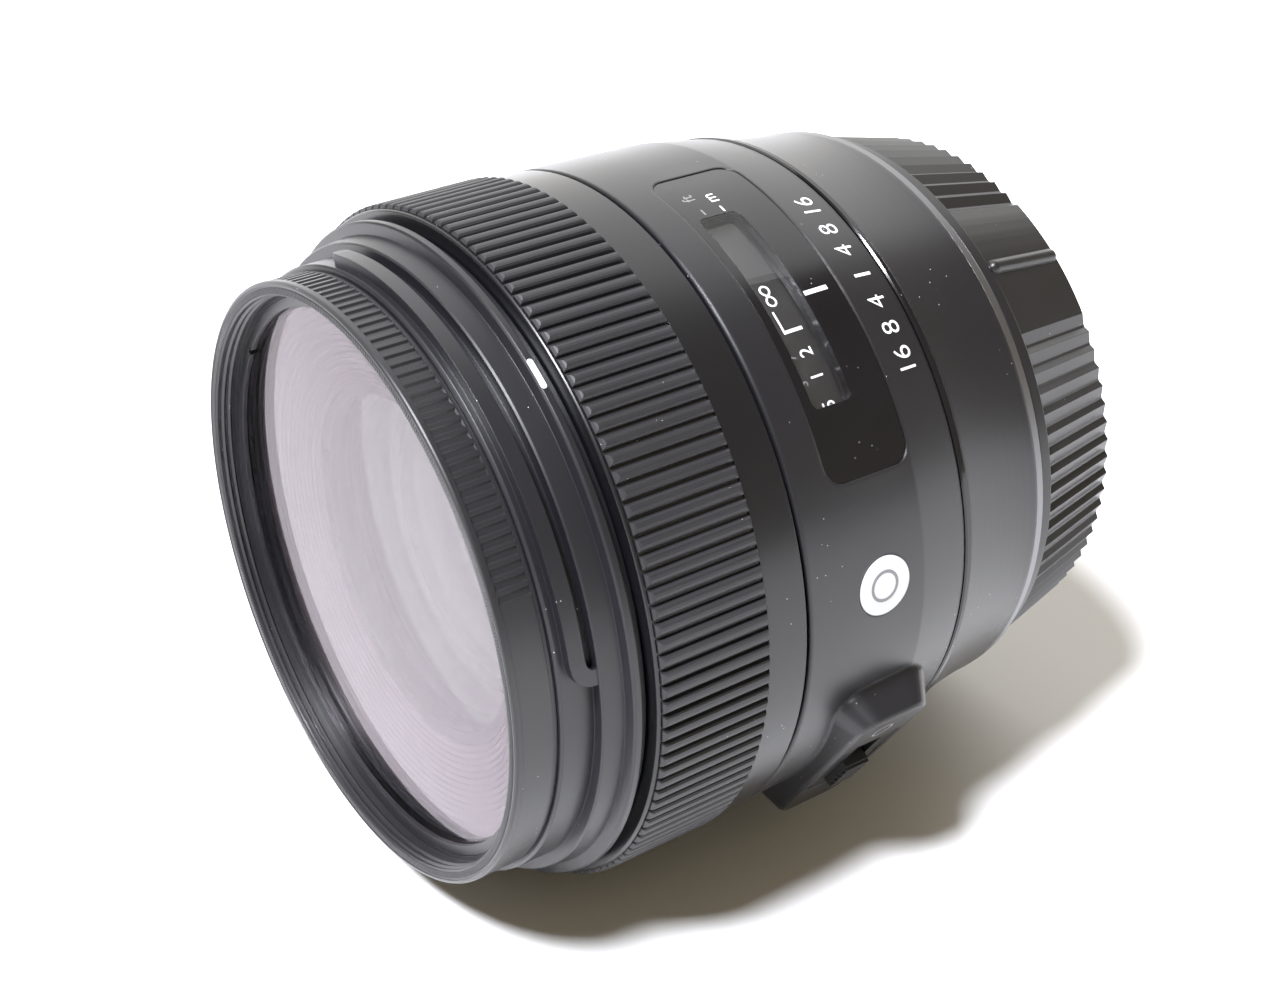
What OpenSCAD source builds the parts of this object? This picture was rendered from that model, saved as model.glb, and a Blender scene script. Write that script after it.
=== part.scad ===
// Prime camera lens with a screw-in protector filter and a rear cap, lying on its side.
// Every part is drawn about the optical axis: z = 0 is the mount flange's seating face, +z points out of
// the front, +y is the top of the lens as it is held and +x is the side with the focus mode switch.
// lay() then turns the lens as it lies: axis along Y, front facing -Y, rolled so the scale faces up and out.

/* [Lie] */
// Roll of the lens about its axis as it lies, in degrees
lie_roll = 33.6; // [20:0.1:50]

/* [Focus ring] */
// Radius over the ribs of the rubber grip
grip_r = 37.1; // [37:0.05:37.6]
// Number of ribs round the rubber grip
grip_ribs = 140; // [90:2:150]
// Turn of the focus ring from infinity to the nearest focus, in degrees
focus_throw = 80; // [40:1:80]
// Travel of the focus group from infinity to the nearest focus
focus_travel = 4.5; // [2:0.1:4.5]

/* [Barrel] */
// Radius of the smooth rear part of the focus ring
ring_r = 36.65; // [36.5:0.05:36.8]
// Radius of the main barrel at its front edge
barrel_front_r = 36.6; // [36.5:0.05:36.8]
// Radius of the main barrel at its rear edge
barrel_rear_r = 35.2; // [35:0.05:35.6]
// Thickness of the main barrel's wall at the rear edge
barrel_wall = 0.9; // [0.8:0.05:1.1]
// Width across the flat panel that carries the focus mode switch
panel_w = 25; // [22:0.5:27]
// Distance of that panel from the optical axis
panel_x = 38; // [37.8:0.1:38.4]

/* [Distance window] */
// Half of the angle that the window plate covers, in degrees
plate_half_angle = 30.8; // [27:0.1:31]
// Half of the angle that the see-through slot covers, in degrees
slot_half_angle = 18.6; // [14:0.1:20]

/* [Filter and cap] */
// Radius over the filter's knurled edge
filter_r = 32.45; // [32.3:0.05:32.8]
// Number of knurls that would go round the whole filter edge
filter_knurls = 160; // [100:2:180]
// Radius of the filter's own front thread
filter_thread_r = 30.95; // [30.9:0.01:31]
// Radius of the rear cap at its mouth
cap_front_r = 32.3; // [32:0.1:33]
// Radius of the rear cap at its back
cap_back_r = 29.6; // [29:0.1:30.5]
// Angle from one cap rib to the next, in degrees
cap_rib_pitch = 4; // [3:0.5:6]

/* [Diaphragm] */
// Number of blades in the diaphragm
blade_count = 9; // [9:1:9]
// Radius of the circle that the blade pivots stand on
pivot_r = 19.5; // [19.4:0.1:19.6]
// Turn of one blade from wide open to fully stopped down, in degrees
blade_turn = 32.8; // [20:0.1:32.8]
// Turn of the drive ring that gives that blade turn, in degrees
drive_turn = 18; // [18:1:18]

/* [Hidden] */
$fn = 96;

// Small overlap that keeps a cutter's face off the face it cuts
eps = 0.02;
// Clearance of a running fit, and of two pieces that only pass each other
run = 0.08;
gap = 0.25;

// Stations along the axis, front of each part first
filter_z = [61.25, 65.9];
barrel_front_z = [52.95, 61.2];
grip_z = [39.65, 52.3];
ring_z = [34.85, 52.75];
main_z = [12.9, 34.4];
trim_z = [12.02, 12.85];
rear_z = [0.95, 12];
flange_z = [0, 0.9];
cap_z = [-13.5, -0.6];

// Radii of the tubes inside, from the focus group's bore outwards
bore_r = 28.5;
inner_r = 29.5;
cam_r = [29.58, 30.9];
motor_r = [31.3, 32.9];
drum_r = [33.15, 34];
shell_bore_r = 34.3;

// Focus cam: the followers rise by focus_travel while the cam ring turns by half of the focus ring's turn
cam_turn = focus_throw / 2;
cam_rise = focus_travel / cam_turn;
follower_r = 1;
follower_z = 12.4;
follower_angles = [30, 150, 270];
follower_play = 1.12;
cam_z = [10.7, 20.4];
roller_z = 18.05;
roller_r = 1.5;
axle_r = 0.6;
axle_lag = 85;
rotor_z = [14.25, 16.5];
drive_z = [19.6, 37.2];

// Diaphragm levels
cover_z = [28.4, 29.4];
drive_ring_z = [29.9, 30.7];
blade_z = 31.2;
blade_pitch = 0.3;
blade_t = 0.16;
base_z = [34.2, 35.2];
blade_in_r = 12.3;
blade_out_r = 18;
iris_r = 11.5;
pin_r = 0.5;
pin_arm = 3;
pin_slot = 0.66;
tooth_module = 0.4;
drive_teeth = 114;
pinion_teeth = 10;
pinion_angle = 303.6;
pinion_centre_r = tooth_module * (drive_teeth + pinion_teeth) / 2;

// Switch pocket in the flat panel
switch_z = 23.5;
switch_travel = 4;
knob_y = -switch_travel / 2;
pocket_w = 11.6;
pocket_h = 7.2;

// Mount
lug_angles = [90, 210, 330];
screw_angles = [45, 135, 225, 315];
screw_circle_r = 29.9;
screw_r = 0.8;

// Screws through the front barrel's inner flange
front_screw_angles = [60, 180, 300];
front_screw_circle_r = 29.8;

// ---------- shared shapes ----------

// The lens as it lies
module lay() {
    rotate([90, 0, 0]) rotate([0, 0, -lie_roll]) children();
}

function polar(r, a) = [r * cos(a), r * sin(a)];
function arc_points(r, a0, a1, steps) = [for (i = [0:steps]) polar(r, a0 + (a1 - a0) * i / steps)];
function sag(surface_r, rim_r) = abs(surface_r) - sqrt(surface_r * surface_r - rim_r * rim_r);

// Solid turned from an outline of [radius, height] points
module turned(points) {
    rotate_extrude() polygon(points);
}

module tube(r_in, r_out, z0, z1) {
    turned([[r_in, z0], [r_out, z0], [r_out, z1], [r_in, z1]]);
}

// Part of a tube between two angles
module tube_arc(r_in, r_out, z0, z1, a0, a1) {
    rotate([0, 0, a0])
        rotate_extrude(angle = a1 - a0)
            translate([r_in, z0]) square([r_out - r_in, z1 - z0]);
}

// Rod standing outwards along a radius at one angle
module spoke(r, from_r, to_r, angle, z) {
    rotate([0, 0, angle]) translate([from_r, 0, z]) rotate([0, 90, 0]) cylinder(h = to_r - from_r, r = r, $fn = 48);
}

// Rod parallel to the axis
module post(r, z0, z1, at_r, angle) {
    rotate([0, 0, angle]) translate([at_r, 0, z0]) cylinder(h = z1 - z0, r = r, $fn = 48);
}

// Glass element: positive surface radii bulge outwards, negative ones are hollow, 0 is flat
module glass_element(rim_r, z_back, z_front, front_r, back_r) {
    front_sag = front_r == 0 ? 0 : sag(front_r, rim_r);
    back_sag = back_r == 0 ? 0 : sag(back_r, rim_r);
    z0 = z_back - (back_r > 0 ? back_sag : 0);
    z1 = z_front + (front_r > 0 ? front_sag : 0);
    color("powderblue", 0.5) difference() {
        intersection() {
            translate([0, 0, z0]) cylinder(h = z1 - z0, r = rim_r);
            if (front_r > 0) translate([0, 0, z1 - front_r]) sphere(r = front_r, $fn = 180);
            if (back_r > 0) translate([0, 0, z0 + back_r]) sphere(r = back_r, $fn = 180);
        }
        if (front_r < 0) translate([0, 0, z_front - front_sag - front_r]) sphere(r = -front_r, $fn = 180);
        if (back_r < 0) translate([0, 0, z_back + back_sag + back_r]) sphere(r = -back_r, $fn = 180);
    }
}

// ---------- protector filter ----------

// Arcs of the filter's edge that are knurled; the arcs between them are smooth
knurl_arcs = [[57, 165], [237, 345]];
knurl_depth = 0.22;
knurl_band = [61.7, 65.1];

function knurled(a) = (a >= knurl_arcs[0][0] && a < knurl_arcs[0][1])
                   || (a >= knurl_arcs[1][0] && a < knurl_arcs[1][1]);
function knurl_points() = [
    for (i = [0:filter_knurls - 1])
        let (a = i * 360 / filter_knurls, step = 360 / filter_knurls)
            for (part = [[0, 0], [0.3, 0], [0.45, 1], [0.85, 1]])
                polar(filter_r - (knurled(a) ? knurl_depth * part[1] : 0), a + part[0] * step)
];

module filter_frame() {
    inner = filter_r - knurl_depth - 0.1;
    face_z = filter_z[1] - 0.1;
    color("dimgray") lay() {
        turned([
            [inner, filter_z[0]], [filter_r - 0.05, filter_z[0]], [filter_r - 0.05, knurl_band[0]],
            [inner, knurl_band[0]], [inner, knurl_band[1]], [filter_r + 0.05, knurl_band[1]],
            [filter_r + 0.05, filter_z[1] - 0.3], [filter_r - 0.03, filter_z[1] - 0.1], [filter_r - 0.25, filter_z[1]],
            [filter_r - 0.4, filter_z[1]], [filter_r - 0.45, face_z], [filter_thread_r + 0.15, face_z],
            [filter_thread_r, face_z - 0.15], [filter_thread_r, 63.4], [30.4, 63.4], [30.4, filter_z[0]],
            [29, filter_z[0]], [29, 60.7], [29.4, 60.3], [29.4, 58.9], [31, 58.9], [31, filter_z[0]]
        ]);
        translate([0, 0, knurl_band[0]]) difference() {
            linear_extrude(height = knurl_band[1] - knurl_band[0]) polygon(knurl_points());
            translate([0, 0, -eps]) cylinder(h = knurl_band[1], r = inner - 0.5, $fn = 240);
        }
    }
}

module filter_glass() {
    color("lavender", 0.4) lay() translate([0, 0, filter_z[0]]) cylinder(h = 1.55, r = 30.35);
}

module filter_retaining_ring() {
    color("dimgray") lay() difference() {
        tube(29.25, 30.35, 62.85, 63.39);
        for (a = [0, 180]) post(0.45, 62.8, 63.5, 29.4, a);
    }
}

// ---------- front barrel and front optics ----------

// Arcs of the raised hood bayonet lugs, their place along the axis, and the radii of their curved stops
hood_arcs = [[46, 138], [226, 318]];
hood_lug_z = [58.6, 60.3];
hood_stop_r = [0.9, 2.6];
hood_stop_z = 57.62;
hood_stop_steps = 12;

// Outline of the stop where a lug ends: a quarter circle that turns down to the flange
function hood_stop_arc(r, last) = [
    for (i = [0:hood_stop_steps])
        let (a = 90 * (last ? hood_stop_steps - i : i) / hood_stop_steps)
            [-hood_stop_z - r * cos(a), -r * sin(a)]
];
function hood_stop_points() = concat(
    [[-hood_stop_z - hood_stop_r[1], 0.1]],
    hood_stop_arc(hood_stop_r[1], false),
    [[-hood_stop_z + 0.5, -hood_stop_r[1]], [-hood_stop_z + 0.5, -hood_stop_r[0]]],
    hood_stop_arc(hood_stop_r[0], true),
    [[-hood_stop_z - hood_stop_r[0], 0.1]]
);

module front_barrel() {
    base_r = 33;
    lug_r = 34.1;
    color("dimgray") lay() difference() {
        union() {
            turned([
                [31.1, 61.2], [32.75, 61.2], [base_r, 60.95], [base_r, 57.5], [34.2, 57.5], [34.35, 57.3],
                [34.6, 55.1], [35.7, 54.9], [35.9, 54.7], [35.9, 54.05], [34.9, 53.95], [34.9, 52.95],
                [33.9, 52.95], [33.9, 44], [32.4, 44], [32.4, 51.1], [28.6, 51.1], [28.6, 52.6], [31.1, 52.6]
            ]);
            for (arc = hood_arcs) {
                tube_arc(base_r - 0.5, lug_r, hood_lug_z[0], hood_lug_z[1], arc[0], arc[1]);
                spoke((hood_lug_z[1] - hood_lug_z[0]) / 2, base_r - 0.5, lug_r, arc[1],
                      (hood_lug_z[0] + hood_lug_z[1]) / 2);
                intersection() {
                    tube(base_r - 0.5, lug_r - 0.03, 56, 61);
                    rotate([0, 0, arc[0]]) rotate([0, 90, 0]) linear_extrude(height = 40) polygon(hood_stop_points());
                }
            }
        }
        for (a = front_screw_angles) post(screw_r, 51, 52.7, front_screw_circle_r, a);
    }
}

// Light-trap cone between the filter and the front element, with concentric ribs
baffle_ribs = 13;
baffle_out = [28.6, 60];
baffle_in = [20, 57.7];

function baffle_point(t) = [baffle_out[0] + (baffle_in[0] - baffle_out[0]) * t,
                            baffle_out[1] + (baffle_in[1] - baffle_out[1]) * t];
function baffle_outline() = concat(
    [[29.1, 54.1], [29.1, baffle_out[1] + 0.1]],
    [for (i = [0:baffle_ribs - 1])
        for (part = [[0.1, 0], [0.75, -0.3], [0.8, 0]])
            baffle_point((i + part[0]) / baffle_ribs) + [0, part[1]]],
    [baffle_in, [baffle_in[0], 57.4], [22.1, 57.4], [28.2, 58.9], [28.2, 54.1]]
);

module front_baffle() {
    color("gray") lay() turned(baffle_outline());
}

module front_cell() {
    color("dimgray") lay() difference() {
        turned([
            [15.6, 36.5], [20.9, 36.5], [20.9, 46.8], [28.1, 49.4], [28.1, 52.65], [31, 52.65], [31, 54],
            [21.9, 54], [21.9, 57.3], [20.5, 57.3], [20.5, 53.5], [18.1, 53.5], [18.1, 49], [16.5, 49],
            [16.5, 43], [15.5, 43], [15.5, 38.4], [14.6, 38.4], [14.6, 36.5]
        ]);
        for (a = front_screw_angles) post(screw_r, 52.6, 54.1, front_screw_circle_r, a);
    }
}

module front_retaining_ring() {
    color("black") lay() difference() {
        tube(18.7, 20.45, 56.45, 57.25);
        for (a = [20, 200]) post(0.5, 56.9, 57.4, 19.2, a);
    }
}

module front_element() {
    lay() glass_element(20.4, 53.55, 56.1, 190, -90);
}

module element_2() {
    lay() glass_element(18, 49.1, 51.5, 60, -80);
}

module element_3() {
    lay() glass_element(16.4, 43.1, 47, 60, -35);
}

module element_4() {
    lay() glass_element(15.4, 38.5, 41.5, 30, 0);
}

// ---------- focus ring ----------

// Outline of one rounded rib of the grip, as [share of the pitch, depth below the crown]
grip_rib = [[-0.42, 0.6], [-0.35, 0.24], [-0.24, 0.06], [-0.08, 0], [0.08, 0], [0.24, 0.06], [0.35, 0.24], [0.42, 0.6]];
function grip_points() = [
    for (i = [0:grip_ribs - 1])
        let (step = 360 / grip_ribs)
            for (part = grip_rib) polar(grip_r - part[1], (i + part[0]) * step)
];

module focus_ring_sleeve() {
    core_r = 36.1;
    color("dimgray") lay() turned([
        [drum_r[1], ring_z[0]], [ring_r - 0.15, ring_z[0]], [ring_r, ring_z[0] + 0.15], [ring_r, grip_z[0] - 0.05],
        [core_r, grip_z[0] - 0.05], [core_r, grip_z[1] + 0.05], [36.6, grip_z[1] + 0.05], [36.62, 52.5],
        [36.54, 52.66], [36.4, ring_z[1]], [drum_r[1], ring_z[1]]
    ]);
}

module focus_grip() {
    z0 = grip_z[0];
    z1 = grip_z[1];
    color("darkslategray") lay() intersection() {
        translate([0, 0, z0]) difference() {
            linear_extrude(height = z1 - z0) polygon(grip_points());
            translate([0, 0, -eps]) cylinder(h = z1, r = 36.12, $fn = 360);
        }
        turned([
            [36, z0 - eps], [grip_r - 0.3, z0 - eps], [grip_r + eps, z0 + 0.3], [grip_r + eps, z1 - 0.5],
            [grip_r - 0.1, z1 - 0.2], [grip_r - 0.35, z1 + eps], [36, z1 + eps]
        ]);
    }
}

// Ring that carries the hand's turn back to the motor's rollers
module focus_drive_ring() {
    color("silver") lay() turned([
        [motor_r[0], drive_z[0]], [motor_r[1], drive_z[0]], [motor_r[1], 35.2], [drum_r[1] - 0.03, 35.2],
        [drum_r[1] - 0.03, drive_z[1]], [motor_r[0], drive_z[1]]
    ]);
}

// ---------- main barrel ----------

// Straight cut or pad with rounded corners, square to the top of the lens
module top_pad(width, z0, z1, corner, y0, y1) {
    translate([0, y0, 0]) rotate([-90, 0, 0]) linear_extrude(height = y1 - y0)
        translate([-width / 2 + corner, -z1 + corner]) rounded_plate(width, z1 - z0, corner);
}

// Rounded rectangle made of squares and circles so that its corners stay true arcs
module rounded_plate(width, height, corner) {
    translate([0, -corner]) square([width - 2 * corner, height]);
    translate([-corner, 0]) square([width, height - 2 * corner]);
    for (x = [0, width - 2 * corner]) {
        for (y = [0, height - 2 * corner]) translate([x, y]) circle(r = corner, $fn = 32);
    }
}

plate_z = [19.4, 30];
slot_z = [24, 28.9];
plate_w = 2 * 36.3 * sin(plate_half_angle);
slot_w = 2 * 36.3 * sin(slot_half_angle);
plate_floor_r = 35.3;

// Raised switch boss: a flat rounded panel that widens towards the barrel
module switch_boss() {
    hull() {
        boss_slab(panel_x - 0.3, panel_x, panel_w, [19.2, 27.9], 2.2);
        boss_slab(panel_x - 0.6, panel_x - 0.3, panel_w + 0.4, [19, 28.2], 2.4);
        boss_slab(33, 34.6, panel_w + 0.8, [16.8, 29.6], 3.4);
    }
}

module boss_slab(x0, x1, width, z, corner) {
    translate([x0, 0, 0]) rotate([0, 90, 0]) linear_extrude(height = x1 - x0)
        translate([-z[1] + corner, -width / 2 + corner])
            rounded_plate(z[1] - z[0], width, corner, $fn = 72);
}

module main_barrel() {
    z0 = main_z[0];
    z1 = main_z[1];
    color("dimgray") lay() difference() {
        union() {
            turned([
                [33.3, z0], [barrel_rear_r - 0.2, z0], [barrel_rear_r, z0 + 0.2], [36.2, plate_z[0]],
                [36.45, 28], [barrel_front_r, z1 - 0.2], [barrel_front_r - 0.2, z1], [33.3, z1]
            ]);
            intersection() {
                switch_boss();
                tube(33.3, 60, z0, z1);
            }
        }
        translate([0, 0, z0 + 1.5]) cylinder(h = z1, r = shell_bore_r);
        difference() {
            top_pad(plate_w, plate_z[0], plate_z[1], 2, 20, 40);
            cylinder(h = z1, r = plate_floor_r);
        }
        top_pad(slot_w + 0.4, slot_z[0] - 0.2, slot_z[1] + 0.2, 0.9, 20, 40);
        rotate([0, 0, badge_angle]) translate([badge_floor_r, 0, badge_z]) rotate([0, 90, 0])
            cylinder(h = 3, r = badge_r + 0.03);
        translate([35.75, -pocket_w / 2, switch_z - pocket_h / 2]) cube([5, pocket_w, pocket_h]);
    }
}

// Glossy plate let into the barrel over the distance scale
module window_plate() {
    color("black") lay() difference() {
        intersection() {
            top_pad(plate_w - 0.1, plate_z[0] + 0.05, plate_z[1] - 0.05, 1.95, 20, 40);
            turned([[plate_floor_r + 0.02, 19], [36.12, 19], [36.38, 28], [36.43, 30.1], [plate_floor_r + 0.02, 30.1]]);
        }
        top_pad(slot_w, slot_z[0], slot_z[1], 0.8, 20, 40);
    }
}

// Clear pane in the plate's slot
module scale_window() {
    color("white", 0.3) lay() intersection() {
        top_pad(slot_w - 0.04, slot_z[0] + 0.02, slot_z[1] - 0.02, 0.78, 20, 40);
        turned([[plate_floor_r + 0.1, 23], [36.22, 23], [36.38, 29], [plate_floor_r + 0.1, 29]]);
    }
}

// Plain round disc let into the side of the barrel
badge_angle = 40.7;
badge_z = 24.85;
badge_r = 3.2;
badge_floor_r = 35.95;
badge_face_r = 36.48;

module badge() {
    color("white") lay() intersection() {
        rotate([0, 0, badge_angle]) translate([badge_floor_r, 0, badge_z]) rotate([0, 90, 0])
            cylinder(h = 3, r = badge_r);
        tube(badge_floor_r + 0.2, badge_face_r, badge_z - 5, badge_z + 5);
    }
}

module trim_ring() {
    color("black") lay() turned([
        [34.15, trim_z[0]], [35.1, trim_z[0]], [35.28, trim_z[0] + 0.2], [35.28, trim_z[1] - 0.2],
        [35.15, trim_z[1]], [34.15, trim_z[1]]
    ]);
}

// Cover of the switch pocket, with the slot that the knob slides in
module switch_plate() {
    color("dimgray") lay() difference() {
        translate([37, 0.05 - pocket_w / 2, switch_z + 0.05 - pocket_h / 2])
            cube([0.9, pocket_w - 0.1, pocket_h - 0.1]);
        translate([36.5, -4.7, switch_z - 1.65]) cube([2, 9.4, 3.3]);
    }
}

module switch_knob() {
    color("black") lay() translate([0, knob_y, switch_z]) {
        translate([36.05, -3.4, -2.8]) cube([0.75, 6.8, 5.6]);
        translate([36.7, -2.5, -1.5]) cube([1.9, 5, 3]);
        for (i = [-2:2]) translate([38.5, i * 1.05 - 0.3, -1.5]) cube([0.5, 0.6, 3]);
    }
}

// ---------- inner barrel and ring motor ----------

module inner_barrel() {
    color("silver") lay() difference() {
        turned([
            [bore_r, 3.8], [31.4, 3.8], [31.4, 5.3], [inner_r, 5.3], [inner_r, 8.8], [32.9, 8.8], [32.9, 10.3],
            [inner_r, 10.3], [inner_r, 49.4], [31.6, 49.4], [31.6, 51.05], [bore_r, 51.05]
        ]);
        for (a = follower_angles) {
            rotate([0, 0, a]) translate([27, -follower_r - run, follower_z - follower_play])
                cube([3.5, 2 * (follower_r + run), focus_travel + 2 * follower_play]);
        }
        for (a = front_screw_angles) post(screw_r, 49, 51.2, front_screw_circle_r, a);
        for (a = screw_angles) post(screw_r + 0.02, 3.7, 5.4, screw_circle_r, a);
    }
}

// Spring washer that presses the stator against the rotor
module motor_wave_spring() {
    color("lightsteelblue") lay() difference() {
        tube(motor_r[0] + 0.2, motor_r[1] - 0.2, 10.32, 11.88);
        for (a = [0:60:300]) {
            tube_arc(motor_r[0], motor_r[1], 10.2, 11.35, a - 13, a + 13);
            tube_arc(motor_r[0], motor_r[1], 10.85, 12, a + 17, a + 43);
        }
    }
}

module motor_stator() {
    tooth_slots = 36;
    color("goldenrod") lay() difference() {
        tube(motor_r[0], motor_r[1], 11.9, rotor_z[0] - 0.02);
        for (i = [0:tooth_slots - 1]) rotate([0, 0, i * 360 / tooth_slots])
            translate([motor_r[0] - 1, -0.35, rotor_z[0] - 1]) cube([4, 0.7, 2]);
    }
}

module motor_rotor() {
    color("silver") lay() tube(motor_r[0], motor_r[1], rotor_z[0], rotor_z[1]);
}

// Outer ring with three axles; the axles reach in to the cam ring
module roller_carrier() {
    color("silver") lay() {
        tube(drum_r[0], drum_r[1], 16.9, cam_z[1]);
        for (a = follower_angles) spoke(axle_r, 29.7, 33.6, a - axle_lag, roller_z);
    }
}

module roller(angle) {
    color("gainsboro") lay() difference() {
        spoke(roller_r, 31.4, 32.8, angle - axle_lag, roller_z);
        spoke(axle_r + 0.06, 31, 33, angle - axle_lag, roller_z);
    }
}

module distance_scale_ring() {
    color("black") lay() tube(33.25, drum_r[1], cam_z[1], 32.4);
}

// Cam ring: each slot is the band between two helices, swept by a twisted sector
module focus_cam_ring() {
    slot_half = follower_play / cam_rise;
    slot_height = focus_travel + 2 * follower_play - 0.04;
    slot_twist = slot_height / cam_rise;
    start = (follower_play - 0.02) / cam_rise;
    color("goldenrod") lay() difference() {
        tube(cam_r[0], cam_r[1], cam_z[0], cam_z[1]);
        for (a = follower_angles) {
            rotate([0, 0, a]) translate([0, 0, follower_z - follower_play + 0.02])
                linear_extrude(height = slot_height, twist = slot_twist, slices = 30, $fn = 12)
                    polygon(concat(arc_points(28.8, start - slot_half, start + slot_half, 5),
                                   arc_points(31.6, start + slot_half, start - slot_half, 5)));
            spoke(axle_r + 0.02, 29, 32, a - axle_lag, roller_z);
        }
    }
}

// ---------- diaphragm ----------

function blade_angle(i) = i * 360 / blade_count;

module diaphragm_base() {
    color("silver") lay() difference() {
        tube(iris_r, bore_r - 0.05, base_z[0], base_z[1]);
        for (i = [0:blade_count - 1]) post(pin_r + 0.05, base_z[0] - 1, base_z[1] + 1, pivot_r, blade_angle(i));
        post(0.75, base_z[0] - 1, base_z[1] + 1, pinion_centre_r, pinion_angle);
    }
}

module diaphragm_cover() {
    color("silver") lay() turned([
        [iris_r, cover_z[0]], [bore_r - 0.05, cover_z[0]], [bore_r - 0.05, cover_z[1]], [16.1, cover_z[1]],
        [16.1, drive_ring_z[1] + 0.1], [15, drive_ring_z[1] + 0.1], [15, cover_z[1]], [iris_r, cover_z[1]]
    ]);
}

// Where a blade's drive pin stands when the drive ring has turned by part t of its travel
pin_lead = 90 - blade_turn / 2;
function pin_place(t) = [pivot_r, 0] + polar(pin_arm, pin_lead + blade_turn * t);
function turned_back(p, a) = [p[0] * cos(a) + p[1] * sin(a), p[1] * cos(a) - p[0] * sin(a)];
// The same place seen from the drive ring, pushed out or in along its radius by half of the slot
function slot_place(t, push) = let (p = turned_back(pin_place(t), drive_turn * t)) p * (1 + push / norm(p));
slot_ends = 0.14;
slot_steps = 12;
function slot_points() = concat(
    [for (i = [0:slot_steps]) slot_place(-slot_ends + (1 + 2 * slot_ends) * i / slot_steps, pin_slot)],
    [for (i = [slot_steps:-1:0]) slot_place(-slot_ends + (1 + 2 * slot_ends) * i / slot_steps, -pin_slot)]
);

// One gear tooth from root to root, as [radius from the pitch circle, half width]
tooth_profile = [[-0.45, -0.37], [0, -0.25], [0.3, -0.14], [0.3, 0.14], [0, 0.25], [-0.45, 0.37]];
function tooth_points(pitch_r, a) = [
    for (p = tooth_profile) polar(pitch_r + p[0], a + p[1] / (pitch_r + p[0]) * 180 / PI)
];

module aperture_drive_ring() {
    pitch_circle_r = tooth_module * drive_teeth / 2;
    step = 360 / drive_teeth;
    first = pinion_angle + 2.5 * step;
    tooth_span = 12;
    color("goldenrod") lay() translate([0, 0, drive_ring_z[0]]) difference() {
        linear_extrude(height = drive_ring_z[1] - drive_ring_z[0]) {
            difference() {
                circle(r = pitch_circle_r - 0.4);
                circle(r = 16.1 + run);
                for (i = [0:blade_count - 1]) rotate(blade_angle(i)) polygon(slot_points());
            }
            for (i = [0:tooth_span - 1]) polygon(tooth_points(pitch_circle_r, first - i * step));
        }
    }
}

module aperture_pinion() {
    step = 360 / pinion_teeth;
    color("goldenrod") lay() rotate([0, 0, pinion_angle]) translate([pinion_centre_r, 0, 0]) {
        translate([0, 0, 29.7]) linear_extrude(height = 1.2)
            polygon([for (i = [0:pinion_teeth - 1]) each tooth_points(tooth_module * pinion_teeth / 2, 180 + i * step)]);
        translate([0, 0, 30.8]) cylinder(h = 5.1, r = 0.6, $fn = 48);
    }
}

module aperture_motor() {
    color("silver") lay() difference() {
        union() {
            post(3.2, 36, 44, pinion_centre_r, pinion_angle);
            post(1.6, 35.25, 36.05, pinion_centre_r, pinion_angle);
        }
        post(0.68, 35, 37, pinion_centre_r, pinion_angle);
    }
}

// Blade: crescent between two arcs, with a root tab that holds the pivot and the drive pin
module aperture_blade(number) {
    level = blade_z + (number - 1) * blade_pitch;
    color("slategray") lay() rotate([0, 0, blade_angle(number - 1)]) {
        translate([0, 0, level]) linear_extrude(height = blade_t) {
            polygon(concat(arc_points(blade_in_r, -3, 100, 24), arc_points(blade_out_r, 96, -3, 24)));
            polygon(concat(arc_points(blade_out_r - 0.5, -3, 12, 5), arc_points(21.5, 11, -2, 5)));
        }
        translate([pivot_r, 0, level + 0.1]) cylinder(h = base_z[1] - level - 0.2, r = pin_r, $fn = 32);
        translate([pin_place(0)[0], pin_place(0)[1], drive_ring_z[0] + 0.05])
            cylinder(h = level + 0.1 - drive_ring_z[0], r = pin_r, $fn = 32);
    }
}

// ---------- focus group ----------

module focus_cell() {
    color("dimgray") lay() difference() {
        turned([
            [12.65, -2.3], [14.6, -2.3], [14.6, 9], [26.6, 9], [26.6, 8], [bore_r - run, 8], [bore_r - run, 22.9],
            [26.6, 22.9], [26.6, 10.6], [14.6, 10.6], [14.6, 21.6], [12.85, 21.6], [12.85, 13], [13.05, 13],
            [13.05, 2.9], [12.65, 2.9]
        ]);
        for (a = follower_angles) spoke(follower_r + 0.02, 26, 29, a, follower_z);
        for (a = [90, 210, 330]) post(3.2, 8.5, 11, 20.5, a);
    }
}

module cam_followers() {
    color("gold") lay() {
        for (a = follower_angles) difference() {
            spoke(follower_r, 26.7, 30.7, a, follower_z);
            spoke(0.35, 26, 29.5, a, follower_z);
        }
    }
}

module element_5() {
    lay() glass_element(12.8, 17.5, 21.3, -40, 0);
}

module element_6() {
    lay() glass_element(12.8, 14, 17.48, 0, 28);
}

module element_7() {
    lay() glass_element(13, 6.8, 10.3, -70, 0);
}

module element_8() {
    lay() glass_element(13, 3.1, 6.2, 0, 45);
}

module element_9() {
    lay() glass_element(12.6, -2.2, -0.2, 60, -100);
}

// ---------- rear barrel and mount ----------

// Gently hollow outline of the rear barrel
rear_steps = 10;
function rear_r(t) = 33.35 + 1.6 * pow(t, 1.6);

module rear_barrel() {
    length = rear_z[1] - rear_z[0];
    color("darkgray") lay() difference() {
        turned(concat(
            [for (i = [0:rear_steps]) [rear_r(i / rear_steps), rear_z[0] + length * i / rear_steps]],
            [[34.1, rear_z[1]], [34.1, 12.88], [33.1, 12.88], [33.1, 7.2], [31.6, 6.6], [31.6, 2.4],
             [27.2, 2.4], [27.2, rear_z[0]]]
        ));
        for (a = screw_angles) post(screw_r + 0.1, 0, 3, screw_circle_r, a);
    }
}

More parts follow.
